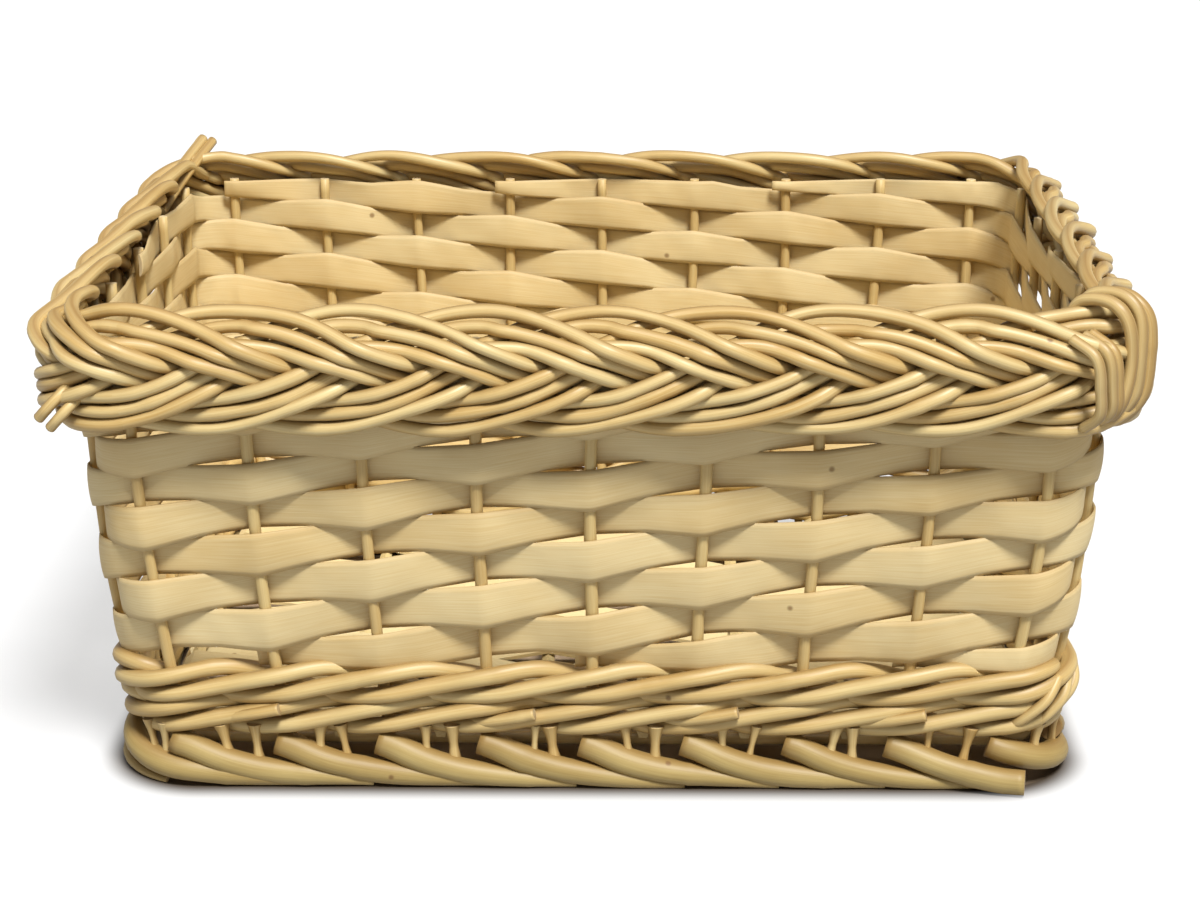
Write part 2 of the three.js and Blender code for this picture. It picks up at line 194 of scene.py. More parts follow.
def grid_piece(name, grid, ring, materials, tone, along, stands_for, painted_shade=0.0):
    """A mesh of quads between neighbouring sections, closed round each one and at its two ends.

    The painted shade says how brown each point of a section is: shade painted into the colour where
    pieces press on each other and their creases would lie in shade. The second material, if there
    is one, is for the two cut ends.
    """
    n, m = grid.shape[:2]
    points = grid.reshape(-1, 3) * mm
    quads, i, j = grid_quads(n, m, ring)
    faces, uv, cuts = quads.tolist(), grain_map(grid, along, i, j), 0
    if not ring:
        cuts = 2
        faces += [list(range(m - 1, -1, -1)), list(range((n - 1) * m, n * m))]
        uv = np.concatenate([uv, np.concatenate([grid[0][::-1], grid[-1]])[:, :2] * mm])
    mesh = bpy.data.meshes.new(name)
    mesh.from_pydata(points.tolist(), [], faces)
    layer = mesh.uv_layers.new(name="grain")
    layer.data.foreach_set("uv", uv.astype(np.float32).ravel())
    for material in materials:
        mesh.materials.append(material)
    is_cut = np.arange(len(faces)) >= len(faces) - cuts
    mesh.polygons.foreach_set("material_index", is_cut * min(1, len(materials) - 1))
    mesh.polygons.foreach_set("use_smooth", ~is_cut)
    for label, values in (("tone", tone), ("painted_shade", painted_shade)):
        attribute = mesh.attributes.new(label, "FLOAT", "POINT")
        at_points = np.broadcast_to(values, (n, m)).astype(np.float32)
        attribute.data.foreach_set("value", at_points.ravel())
    mesh.update()
    piece = show(name, mesh)
    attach(piece, "root")
    if stands_for:
        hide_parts(*stands_for)
    pieces.append(piece)


print("a grid of 4 sections of 6 points has", len(grid_quads(4, 6, False)[0]), "quads")

# %% [markdown]
# A rod is circles across a path. Willow isn't a pipe: it is a little oval, and it swells where its
# buds were. The sections keep one point turned to a side that is given, mostly out of the wall, so
# they don't twist, and painted shade can be laid on by its place round the section.

# %% Rods
rod_sides = 12
bud_spacing, bud_length, bud_swell = 90, 2.2, 0.06
oval_depth, oval_length = 0.035, 140
# How dark the painted shade is on a rod's flanks, where it lies against its neighbours.
flank_shade = 0.8


def smooth_path(stations, steps):
    """A curve through the stations: a Catmull-Rom spline with some steps between neighbours."""
    s = np.asarray(stations, float)
    p = np.concatenate([2 * s[:1] - s[1:2], s, 2 * s[-1:] - s[-2:-1]])
    a, b, c, d = (q[:, None, :] for q in (p[:-3], p[1:-2], p[2:-1], p[3:]))
    x = (np.arange(steps) / steps)[None, :, None]
    curve = 0.5 * (2 * b + (c - a) * x + (2 * a - 5 * b + 4 * c - d) * x**2
                   + (3 * b - a - 3 * c + d) * x**3)
    return np.concatenate([curve.reshape(-1, s.shape[1]), s[-1:]])


def rod_grid(path, out, radius, seed, sides=rod_sides, ring=False):
    """Sections path + size * (across * cos(a) + other * sin(a)), and the way along the rod.

    The size is the radius, 6% more at a bud, times an oval that turns slowly on its way.
    """
    ahead = np.roll(path, -1, 0) - path
    behind = path - np.roll(path, 1, 0)
    if not ring:
        ahead[-1], behind[0] = behind[-1], ahead[0]
    tangent = ahead / np.linalg.norm(ahead, axis=1, keepdims=True)
    tangent += behind / np.linalg.norm(behind, axis=1, keepdims=True)
    tangent /= np.linalg.norm(tangent, axis=1, keepdims=True)
    across = out - (out * tangent).sum(1, keepdims=True) * tangent
    across /= np.linalg.norm(across, axis=1, keepdims=True)
    other = np.cross(tangent, across)
    along = np.concatenate([[0], np.cumsum(np.linalg.norm(np.diff(path, axis=0), axis=1))])
    rng = np.random.default_rng(seed)
    buds = rng.uniform(0, along[-1], max(1, int(along[-1] / bud_spacing)))
    swell = np.exp(-(((along[:, None] - buds) / bud_length) ** 2)).sum(1)
    angle = np.arange(sides) / sides * 2 * np.pi
    size = np.broadcast_to(radius, along.shape) * (1 + bud_swell * swell)
    turning = 3 * drift(seed + 1, along, oval_length)[:, None]
    oval = 1 + oval_depth * np.cos(2 * angle[None, :] + turning)
    size = size[:, None, None] * oval[..., None]
    grid = (path[:, None, :] + across[:, None, :] * size * np.cos(angle)[None, :, None]
            + other[:, None, :] * size * np.sin(angle)[None, :, None])
    return grid, along


def rod_flank_shade(sides=rod_sides, most=flank_shade):
    """The painted shade of a rod, most * |sin a| ** 3: none outside and inside, the most between,
    on the flanks.
    """
    return most * np.abs(np.sin(np.arange(sides) / sides * 2 * np.pi)) ** 3


print("brown round a rod", rod_flank_shade().round(2).tolist())

# %% [markdown]
# Materials are built from nodes. One function adds a node, sets it and links it, so that each line
# below says one thing about the look.

# %% Nodes
# A Mix node has number, vector and colour sockets under the same names. These are the colour ones.
mix_a, mix_b, mix_result = 6, 7, 2


def linear(hex_colour):
    """sRGB hex to the linear colour that shaders use."""
    c = np.array([int(hex_colour[i:i + 2], 16) for i in (1, 3, 5)]) / 255
    return (*np.where(c <= 0.04045, c / 12.92, ((c + 0.055) / 1.055) ** 2.4), 1.0)


def add_node(tree, kind, inputs=(), **settings):
    """Adds a node, sets its properties, and sets or links its inputs by name or number."""
    made = tree.nodes.new(kind)
    for key, value in settings.items():
        setattr(made, key, value)
    for key, value in dict(inputs).items():
        socket = made.inputs[key]
        if isinstance(value, bpy.types.NodeSocket):
            tree.links.new(value, socket)
        else:
            socket.default_value = value
    return made


def mix_colours(tree, factor, first, second):
    """The colour between two others, each a socket or a value."""
    inputs = {0: factor, mix_a: first, mix_b: second}
    return add_node(tree, "ShaderNodeMix", inputs, data_type="RGBA").outputs[mix_result]


def math_node(tree, operation, *values, **settings):
    """The result of a Math node on some sockets or numbers."""
    inputs = dict(enumerate(values))
    return add_node(tree, "ShaderNodeMath", inputs, operation=operation, **settings).outputs[0]


def attribute_node(tree, label):
    """The number that the mesh holds under a label."""
    return add_node(tree, "ShaderNodeAttribute", attribute_name=label).outputs["Fac"]


def new_tree(owner):
    """The empty node tree of a material or a world."""
    owner.use_nodes = True
    owner.node_tree.nodes.clear()
    return owner.node_tree


print("straw colour", [round(float(v), 3) for v in linear("#d9c68f")])

# %% [markdown]
# Willow is peeled for this basket. The rods are the colour of straw with a soft shine, and the
# split strips are paler and duller, because their face is shaved wood. Both get a grain that runs
# along the piece, slow changes of colour, and a few small brown specks where buds were. The grain
# is about 0.5 mm wide and 30 mm long. One function makes them all, from two colours and the size
# of the grain, so the kinds of willow stay alike.

# %% Willow materials
blotches_per_metre, specks_per_metre = 28.0, 62.0
streak_share, blotch_share, tone_share = 0.4, 0.3, 0.45
# The brown of painted shade, mixed into the wood in the creases between pieces.
painted_shade_colour = "#846434"
grain_depth = 0.0001


def willow(name, pale, deep, speck, grain_width, grain_length, roughness, way=None):
    """Wood with a lengthwise grain, slow blotches, specks and a tone for each piece.

    The grain follows the UV map, or one axis, 0 or 1, of a straight piece that has none.
    """
    material = bpy.data.materials.new(name)
    tree = new_tree(material)
    place = add_node(tree, "ShaderNodeTexCoord").outputs["Object"]
    cells = [1000 / grain_width] * 3
    if way is None:
        flat = add_node(tree, "ShaderNodeUVMap", uv_map="grain").outputs["UV"]
        cells[1] = 1000 / grain_length
    else:
        flat = place
        cells[way] = 1000 / grain_length
    tone = attribute_node(tree, "tone")
    own = math_node(tree, "MULTIPLY", tone, 40.0)
    stretch = add_node(tree, "ShaderNodeMapping", {
        "Vector": flat, "Scale": cells}).outputs["Vector"]
    grain = add_node(tree, "ShaderNodeTexNoise", {
        "Vector": stretch, "W": own, "Scale": 1.0, "Detail": 3.0, "Roughness": 0.6},
        noise_dimensions="4D").outputs["Fac"]
    blotch = add_node(tree, "ShaderNodeTexNoise", {
        "Vector": place, "W": own, "Scale": blotches_per_metre, "Detail": 2.0, "Roughness": 0.5},
        noise_dimensions="4D").outputs["Fac"]
    streak = add_node(tree, "ShaderNodeMapRange", {
        "Value": grain, "From Min": 0.35, "From Max": 0.72}).outputs["Result"]
    slow = add_node(tree, "ShaderNodeMapRange", {
        "Value": blotch, "From Min": 0.3, "From Max": 0.75}).outputs["Result"]
    deeper = math_node(tree, "MULTIPLY", streak, streak_share)
    deeper = math_node(tree, "MULTIPLY_ADD", slow, blotch_share, deeper)
    deeper = math_node(tree, "MULTIPLY_ADD", tone, tone_share, deeper, use_clamp=True)
    wood = mix_colours(tree, deeper, linear(pale), linear(deep))

    spots = add_node(tree, "ShaderNodeTexVoronoi", {"Vector": place, "Scale": specks_per_metre})
    dot = add_node(tree, "ShaderNodeMapRange", {
        "Value": spots.outputs["Distance"], "From Min": 0.045, "From Max": 0.10,
        "To Min": 0.75, "To Max": 0.0}).outputs["Result"]
    chance = add_node(tree, "ShaderNodeSeparateColor", {"Color": spots.outputs["Color"]}).outputs[0]
    dot = math_node(tree, "MULTIPLY", dot, math_node(tree, "GREATER_THAN", chance, 0.86))
    # Painted shade: the wood turns brown where the mesh says its creases lie in shade.
    shaded_wood = mix_colours(tree, attribute_node(tree, "painted_shade"), wood, linear(painted_shade_colour))
    skin = mix_colours(tree, dot, shaded_wood, linear(speck))

    bump = add_node(tree, "ShaderNodeBump", {
        "Height": grain, "Strength": 0.5, "Distance": grain_depth}).outputs["Normal"]
    shader = add_node(tree, "ShaderNodeBsdfPrincipled", {
        "Base Color": skin, "Normal": bump, "Roughness": roughness, "IOR": 1.45})
    add_node(tree, "ShaderNodeOutputMaterial", {"Surface": shader.outputs["BSDF"]})
    return material


# Shaved strips: pale, dull and finely streaked, the light ground of the walls.
split_willow = willow("split_willow", "#e4d2a2", "#cbaa6b", "#7d5a30", 0.45, 26.0, 0.62)
# Rods with their skin's soft shine: a bright line along each rod of the wale.
peeled_rod = willow("peeled_willow_rod", "#d9c68f", "#b5904f", "#6e4c28", 0.6, 30.0, 0.45)
# Uprights: the same straw colour, duller, because they are handled less.
peeled_stick = willow("peeled_willow_stick", "#d8c288", "#b59052", "#6e4c28", 0.6, 30.0, 0.5)
# Border rods: the shiniest and the most golden, with long streaks.
border_rod = willow("peeled_willow_border", "#e0ce98", "#b9924e", "#6b4825", 0.6, 34.0, 0.42)
# Foot rods: darker and browner than the other rods, painted shade, as they lie low under the wale
# and the rim.
shaded_foot_willow = willow("peeled_willow_foot_shaded", "#b8a36a", "#90763f", "#6e4c28", 0.7, 30.0, 0.5)
# The base: a little greyer than the walls, seen only inside and from below.
base_rod = willow("peeled_willow_base", "#d2bf8a", "#a98a50", "#6e4c28", 0.6, 30.0, 0.55, 1)
base_strip = willow("split_willow_base", "#d6c698", "#b99c62", "#7d5a30", 0.45, 26.0, 0.65, 0)
# Cut ends: dry wood with fine dots in place of streaks.
end_grain = willow("willow_end_grain", "#d9c9a0", "#a98a58", "#7d5a30", 0.5, 0.5, 0.8)
print("materials", [m.name for m in bpy.data.materials])

# %% [markdown]
# An upright is a peeled stick, 5 mm thick, that bends outwards as the wall does. A stick is never
# quite straight, so its middle line drifts by half a millimetre. One solid holds the upright and
# its foot rod, so both pieces stand for it.

# %% Uprights
stick_stations = 26
stick_bottom = 17
stick_radii = (2.55, 2.25)
drift_along, drift_out, about_a_bay = 0.6, 0.35, 45
stick_rng = np.random.default_rng(11)


def upright_name(n):
    """The node of upright n."""
    walls = [("front", 0), ("right", front_uprights), ("back", half_count),
             ("left", half_count + front_uprights)]
    wall, first = [w for w in walls if n >= w[1]][-1]
    return f"upright_{wall}_{n - first + 1}"


def make_upright(n):
    """A stick that drifts along the wall and across it on its way up, and gets thinner."""
    heights = np.linspace(stick_bottom, wall_top + 1, stick_stations)
    t = n + drift_along * drift(100 + n, heights, 150) / about_a_bay
    path = wall_point(t, drift_out * drift(140 + n, heights, 120), heights)
    radius = np.linspace(*stick_radii, stick_stations) * stick_rng.uniform(0.94, 1.05)
    grid, along = rod_grid(path, way_out(t), radius, 200 + n)
    grid_piece(f"stick_{n + 1}", grid, False, [peeled_stick, end_grain],
               stick_rng.uniform(0.1, 0.8), along, [upright_name(n)])


print("upright 10 is", upright_name(9))

# %% [markdown]
# A foot rod swings out from under the wale and runs down to the floor. Its height, radius and way
# out are read off a table of places along it, which is easier to fit to the photograph than a
# formula. Its flat underside is made by lifting every point that is below the floor up to it, so
# the rod ends in a thin wedge. Only the rod at the front right corner is cut off blunt.

# %% Foot rods
foot_along = np.array([0, 8, 16, 28, 45, 59, 75, 90])
foot_middle = np.array([18.6, 15.4, 12.0, 8.2, 5.5, 4.4, 3.0, 1.0])
foot_radius = np.array([5.3, 5.8, 5.9, 5.7, 5.2, 4.4, 3.0, 1.1])
foot_out = np.array([3.5, 7.0, 8.8, 9.8, 10.8, 11.6, 12.4, 13.2])
foot_before = 5.0
foot_drift = 0.4
foot_sides, foot_stations = 14, 34
# Painted shade on a foot rod, beside that on its flanks: brown where it starts under the wale, and
# a little towards its tip.
start_shade, start_fade = 0.8, 5
tip_shade, tip_from, tip_length = 0.35, 60, 25
blunt_foot, blunt_stations, blunt_even_from = 7, 22, 12


def smooth_between(place, stops, values):
    """Values between stops, with the corners of the straight runs rounded off."""
    near = np.stack([place + step for step in (-9, -4.5, 0, 4.5, 9)])
    return np.interp(near, stops, values).mean(0)


def bay_length(bay):
    """The length of a bay along the top of the wall."""
    turn = bay % half_count
    if turn in (front_uprights - 1, half_count - 1):
        return corner_bay
    return front_pitch if turn < front_uprights else side_pitch


def walk(t, distances):
    """The bay coordinates at some distances past bay t."""
    whole = math.floor(t)
    edges = [0.0]
    for bay in range(whole, whole + 4):
        edges.append(edges[-1] + bay_length(bay))
    start = (t - whole) * bay_length(whole)
    return np.interp(np.asarray(distances) + start, edges, whole + np.arange(5))


def foot_start(n):
    """The bay at which the foot rod of upright n begins, a little before the upright."""
    return n - foot_before / bay_length(n - 1)


def cut_blunt(path, thick, place):
    """The first part of a foot rod, laid out straight and as thick to its end."""
    path, thick = path[:blunt_stations], thick[:blunt_stations]
    thick[blunt_even_from:] = thick[blunt_even_from]
    ahead = (path[1] - path[0]) * (1, 1, 0)
    straight = np.outer(place[:blunt_stations], ahead / np.linalg.norm(ahead))
    straight = straight + path[0] * (1, 1, 0)
    straight[:, 2] = np.maximum(path[:, 2], thick[-1])
    return straight, thick


def make_foot_rod(n):
    """A rod from under the wale to the floor, with painted shade where it starts and a little at
    its tip.
    """
    share = np.linspace(0, 1, foot_stations)
    place = share * foot_along[-1]
    thick = stick_rng.uniform(0.95, 1.04) * smooth_between(place, foot_along, foot_radius)
    t = walk(foot_start(n), place * stick_rng.uniform(0.96, 1.04))
    z = smooth_between(place, foot_along, foot_middle)
    z = z + foot_drift * drift(260 + n, share, 1.2)
    path = wall_point(t, smooth_between(place, foot_along, foot_out), z)
    if n == blunt_foot:
        path, thick = cut_blunt(path, thick, place)
        t = np.full(blunt_stations, t[0])
    grid, along = rod_grid(path, way_out(t), thick, 300 + n, foot_sides)
    grid[..., 2] = np.maximum(grid[..., 2], 0.0)
    shaded = start_shade * np.exp(-along / start_fade)
    shaded = shaded + tip_shade * np.clip((along - tip_from) / tip_length, 0, 1)
    grid_piece(f"shaded_foot_willow_{n + 1}", grid, False, [shaded_foot_willow, end_grain],
               stick_rng.uniform(0.1, 0.9), along, [upright_name(n)],
               np.maximum(rod_flank_shade(foot_sides)[None, :], shaded[:, None]))


for n in range(upright_count):
    make_upright(n)
    make_foot_rod(n)
print("uprights and foot rods", len(pieces))

# %% [markdown]
# The walls are split willow: a thick rod is split lengthwise and shaved to a flat strip. Each of
# the eight strips starts narrow on the wale and climbs as it goes round, always outside one
# upright and inside the next. Seen from above it zigzags, nearly straight between uprights with
# a crease at each, so its way in and out is the arcsine of a cosine, which is a triangle wave with
# rounded tips. A plain cosine was too soft: the photograph shows a fold at each upright. The edges
# bulge at each upright, where the strips above and below are on the other side of it.

# %% Split willow
strip_count = 8
strip_thickness = 1.3
split_bottom = 51.7
lowest_pitch, highest_pitch = 17.8, 12.6
strip_reach = 3.45
strip_start = -1.3
strip_past_upright = 0.16
least_start_width = 3.5
edge_bulge, edge_drop, edge_draw = 1.3, 1.6, 0.05
# The third value below is painted shade along the strips' edges, where one strip meets the next.
edge_uneven, edge_thinner, edge_shade = 0.5, 0.45, 0.4
strip_tilt, strip_cup, strip_ripple = 0.45, 0.5, 0.12
tip_sharpness = 0.997
bays_per_row = upright_count / strip_count
rows = 2 * (wall_top - split_bottom) / (lowest_pitch + highest_pitch)
pitch_lost = (lowest_pitch - highest_pitch) / rows
across_points = 9
stations_per_bay = 24
strip_rng = np.random.default_rng(23)


def row_line(row):
    """The height of the line between two rows: each row is a little narrower than the last."""
    return split_bottom + row * lowest_pitch - row**2 * pitch_lost / 2


def edge_height(t, k):
    """The height of the upper edge line of strip k at bay t. Strip k + 1 lies under it."""
    since_start = t - strip_start - k * bays_per_row
    uneven = edge_uneven * drift(400 + k % strip_count, since_start, 2.2)
    return row_line(since_start / bays_per_row) + uneven


def zigzag(t, k):
    """asin(s cos(pi (t + k))) / asin(s): 1 outside an upright and -1 inside the next one."""
    swing = np.arcsin(tip_sharpness * np.cos(np.pi * (t + k)))
    return swing / math.asin(tip_sharpness)


def strip_ends(k):
    """The uprights behind which strip k starts and ends."""
    def row_at(n):
        """The row of strip k at upright n."""
        return (n - strip_start) / bays_per_row - k

    first = math.ceil(strip_start + k * bays_per_row)
    while (first + k) % 2 == 0 or row_line(row_at(first)) < split_bottom + least_start_width:
        first += 1
    last = first
    while row_line(row_at(last + 2) - 1) < wall_top - least_start_width:
        last += 2
    return first, last


def strip_edges(t, k):
    """The lower and upper edges of strip k: lines between rows, bulging and drooping outside."""
    swing = np.abs(zigzag(t, k))
    bulge = edge_bulge * swing - edge_draw * (1 - swing)
    drop = edge_drop * swing * np.sign(zigzag(t, k))
    high = np.minimum(edge_height(t, k) - drop + bulge, wall_top + 0.5)
    low = np.maximum(edge_height(t, k + 1) - drop - bulge, split_bottom - 0.3)
    return low, np.maximum(high, low + 1.5)


def strip_middle(t, k, place):
    """How far out the strip's middle layer lies: the zigzag, a tilt, a cup and small waves."""
    centre = strip_reach * zigzag(t, k)
    tilt = strip_tilt * drift(500 + k, t, 1.7)
    cup = -strip_cup * np.sign(centre) * (np.abs(centre) / strip_reach)
    middle = centre[:, None] + tilt[:, None] * place + cup[:, None] * place**2
    return middle + strip_ripple * drift(520 + k, t, 0.35)[:, None] * np.cos(2 * place)


for k in range(strip_count):
    first, last = strip_ends(k)
    t = np.linspace(first - strip_past_upright, last + strip_past_upright,
                    int((last - first) * stations_per_bay))
    low, high = strip_edges(t, k)
    place = np.linspace(-1, 1, across_points)
    z = low[:, None] + (high - low)[:, None] * (place + 1)[None, :] / 2
    middle = strip_middle(t, k, place)
    half = 0.5 * strip_thickness * (1 - edge_thinner * np.abs(place) ** 3)[None, :]
    outer = wall_point(t[:, None], middle + half, z)
    inner = wall_point(t[:, None], middle - half, z)
    grid = np.concatenate([outer[:, ::-1], inner], 1)
    line = wall_point(t, strip_reach * zigzag(t, k), 100.0)
    along = np.concatenate([[0], np.cumsum(np.linalg.norm(np.diff(line, axis=0), axis=1))])
    # Each strip gets painted shade along both its edges.
    grid_piece(f"willow_strip_{k + 1}", grid, False, [split_willow, end_grain],
               strip_rng.uniform(0.1, 0.7), along, [f"split_strip_{k + 1}"],
               edge_shade * np.abs(np.concatenate([place, place])) ** 5)
print("strips", strip_count, "rows", round(rows, 2))

# %% [markdown]
# The wale is three rods twisted round the uprights: each passes outside two uprights and behind
# the third, rising as it goes, so the rods look like a rope. It is drawn through a station at each
# upright and one between, which keeps the twist the same round the corners. The wale begins and
# ends with thin tips, which narrow the gap beside the step from its first round to its second.

# %% Wale
wale_radius = 3.5
wale_reach = 5.1
wale_corner_share, wale_between_share = 0.9, 0.3
wale_rise, rise_at_upright = 6.0, 0.7
wale_centre = 30.6
round_height = 14.5
wale_start, wale_rounds, step_bays = 18, 2, 2
wale_stop = wale_start + wale_rounds * upright_count - step_bays
first_tail, last_tail = 2, 3
tail_climb, tail_sink = 1.2, 3.0
taper_bays, taper_sizes = (0, 0.7, 1.6), (0.4, 0.8, 1.0)
wale_drift_out, wale_drift_up = 0.25, 0.35
corner_bays = (front_uprights - 1, half_count - 1)
wale_rng = np.random.default_rng(37)


def beside_corner(n):
    """Whether upright n stands at the end of a rounded corner."""
    return n % half_count in corner_bays or (n - 1) % half_count in corner_bays


def wale_level(t):
    """The height of the wale's middle: a round, a step up over two bays, and a round again.

    The tails, before the start and past the stop, sink and climb a little beside the step.
    """
    run = np.clip(t, wale_start, wale_stop) - wale_start
    into = np.mod(run, upright_count)
    step = np.maximum(0, (into - (upright_count - step_bays)) / step_bays)
    tail = tail_climb * np.maximum(0, t - wale_stop) - tail_sink * np.maximum(0, wale_start - t)
    return wale_centre + (run // upright_count + step) * round_height + tail


def wale_stations(first, last, phase):
    """Rows of bay, distance outside and height: in, out low, out high, and in again."""
    rows_made = []
    for n in range(first, last + 1):
        step = (n + phase) % 3
        past = wale_reach * (wale_corner_share if beside_corner(n) else 1.0)
        between = wale_reach * wale_between_share if n % half_count in corner_bays else 0.0
        if step == 0:
            rows_made += [(n, -wale_reach, 0.0), (n + 0.5, between, -wale_rise)]
        elif step == 1:
            rows_made += [(n, past, -wale_rise * rise_at_upright), (n + 0.5, past * 1.03, 0.0)]
        else:
            rows_made += [(n, past, wale_rise * rise_at_upright), (n + 0.5, between, wale_rise)]
    return np.array(rows_made[:-1])


for j in range(3):
    first = wale_start + (3 - (wale_start + j) % 3) % 3
    last = wale_stop - 2 + (3 - (wale_stop - 2 + j) % 3) % 3
    stations = wale_stations(first - first_tail, last + last_tail, j)
    stations[:, 2] += wale_level(stations[:, 0])
    curve = smooth_path(stations, 10)
    t = curve[:, 0]
    path = wall_point(t, curve[:, 1] + wale_drift_out * drift(600 + j, t, 1.5),
                      curve[:, 2] + wale_drift_up * drift(620 + j, t, 2.0))
    from_end = np.minimum(t - t[0], t[-1] - t)
    thick = wale_radius * np.interp(from_end, taper_bays, taper_sizes)
    grid, along = rod_grid(path, way_out(t), thick, 640 + j)
    # The wale rods get painted shade on their flanks, where they press on each other.
    grid_piece(f"wale_willow_{j + 1}", grid, False, [peeled_rod, end_grain],
               wale_rng.uniform(0.2, 0.8), along, [f"wale_rod_{j + 1}"],
               rod_flank_shade())
print("wale rods", 3)

# %% [markdown]
# The rim is a plait of five strands, each of three rods side by side, which hangs on the outside
# of the wall. A strand runs like a wave between the two edges. On its way down it passes over the
# first two strands that it meets and under the next two, and the same on its way up, so its depth
# has half the period of its height. Straight formulas would let thick rods cut through each
# other, so the depths are settled: wherever two rods are closer than their thickness, each is
# pushed to its own side, none may enter the wall, and then all are smoothed a little. Some rods
# still cut into each other after that, by up to 2.6 mm.

# %% Rim plait
rods_in_strand, strands = 3, 5
rim_periods = 6
rim_radius = 2.8
rim_spacing = 5.45
rim_reach = 16.6
rim_depth = 4.5
rim_height = 183.0
rim_offset = 11.7
rim_points = 118
rim_lean_over, lean_from, lean_width = 11.0, 7.0, 11.0
inner_rod_later = 0.55
settle_rounds = 120
free_depth = -20.0
uneven_thickness = 0.13


def rim_line(distance):
    """x and y, the way out, and the length all round, at a distance along the rim's middle."""
    radius = wall_corner + rim_offset
    quarter = math.pi / 2 * radius
    stops = np.cumsum([0, 2 * straight_half_length, quarter, 2 * straight_half_width, quarter])
    turn = np.mod(distance, 2 * stops[-1])
    side = np.where(turn >= stops[-1], -1.0, 1.0)
    d = np.mod(turn, stops[-1])
    angle = np.interp(d, stops, [-np.pi / 2, -np.pi / 2, 0, 0, np.pi / 2])
    x = np.interp(d, stops[:2], [-straight_half_length, straight_half_length])
    y = np.interp(d, stops[2:4], [-straight_half_width, straight_half_width])
    out_x, out_y = np.cos(angle), np.sin(angle)
    middle = np.stack([side * (x + radius * out_x), side * (y + radius * out_y)], -1)
    return middle, np.stack([side * out_x, side * out_y, 0 * out_x], -1), 2 * stops[-1]


def strand_depth(share):
    """Over for the first half of the way to the other edge, and under for the second half."""
    stops, values = [0, 0.07, 0.234, 0.286, 0.43, 0.5], [0, 1, 1, -1, -1, 0]
    return rim_depth * np.interp(np.mod(share, 0.5), stops, values)


def settle(depth, flat, strand_of, thickness, least, rounds):
    """Pushes points of different strands apart in depth until they are a thickness apart."""
    lines, n = depth.shape
    strand = np.repeat(strand_of, n)
    place = flat.reshape(-1, 2)
    gap_x = place[:, None, 0] - place[None, :, 0]
    gap_x = np.mod(gap_x + rim_period / 2, rim_period) - rim_period / 2
    beside = np.hypot(gap_x, place[:, None, 1] - place[None, :, 1])
    first, second = np.nonzero((beside < thickness) & (strand[:, None] != strand[None, :]))
    need = np.sqrt(thickness**2 - beside[first, second] ** 2)
    order = np.sign(depth.ravel()[first] - depth.ravel()[second])
    values = depth.ravel().copy()
    for _ in range(rounds):
        short = (need - order * (values[first] - values[second])) / 2
        push, pull = np.zeros_like(values), np.zeros_like(values)
        np.maximum.at(push, first, np.where(order > 0, short, 0))
        np.maximum.at(pull, first, np.where(order < 0, short, 0))
        values = np.maximum(values + 0.5 * (push - pull), least.ravel())
        rows_now = values.reshape(lines, n)
        beside_rows = (np.roll(rows_now, 1, 1) + np.roll(rows_now, -1, 1)) / 2
        values = (0.6 * rows_now + 0.4 * beside_rows).ravel()
    return values.reshape(lines, n)


rim_period = rim_line(np.array([0.0]))[2] / rim_periods
rim_slope = 2 * np.pi * rim_reach / rim_period
print("steepest rim rod", round(math.degrees(math.atan(rim_slope)), 1), "degrees")

# %% [markdown]
# One period is worked out flat first: the way along the rim, the way across it, and the depth.
# The outer and inner rods of a strand lie on parallel lines beside its middle one and dive a
# little later or sooner. Near its upper edge the plait leans in over the tops of the uprights.

# %% Rim strands
share = np.arange(rim_points) / rim_points
flat_rods, depths = [], []
for s in range(strands):
    own = 2 * np.pi * (share + s / strands)
    slope = -rim_slope * np.sin(own)
    length = np.hypot(1, slope)
    for r in range(rods_in_strand):
        shift = (r - 1) * rim_spacing
        across = rim_reach * np.cos(own) + shift / length
        flat_rods.append(np.stack([share * rim_period - slope / length * shift, across], -1))
        later = inner_rod_later * shift / (rim_slope * rim_period) * np.sin(own)
        depths.append(strand_depth(share + s / strands - later))
flat_rods, depths = np.array(flat_rods), np.array(depths)
over_wall = np.clip((flat_rods[..., 1] - lean_from) / lean_width, 0, 1)
depths = depths - rim_lean_over * over_wall**2 * (3 - 2 * over_wall)
wall_side = strip_reach + strip_thickness / 2 - rim_offset
above_wall = flat_rods[..., 1] + rim_height - (wall_top + 0.8)
beside_top = np.sqrt(np.maximum(rim_radius**2 - np.maximum(above_wall, 0) ** 2, 0))
least = np.where(above_wall < rim_radius, wall_side + beside_top, free_depth)
strand_of = np.repeat(np.arange(strands), rods_in_strand)
depths = settle(depths, flat_rods, strand_of, 2 * rim_radius, least, settle_rounds)
print("rim period", round(rim_period, 1), "depth", depths.min().round(2), depths.max().round(2))

# %% [markdown]
# The period is then laid round the rim six times, and slow waves make each rod uneven: no two
# bends of a real plait are the same. Three rods stand for the two solids of each strand.

# %% Rim rods
rim_rng = np.random.default_rng(51)
# Painted shade on the rim rods' flanks, a little darker than on the other rods.
rim_flank_shade = rod_flank_shade(most=0.85)
turn = np.arange(rim_points * rim_periods)
round_share = turn / len(turn) * 2 * np.pi


def uneven_round(waves):
    """A value of about -1 to 1 round the rim, from sines with some whole numbers of waves."""
    return sum(np.sin(round_share * w + rim_rng.uniform(0, 6.28)) for w in waves) / 3


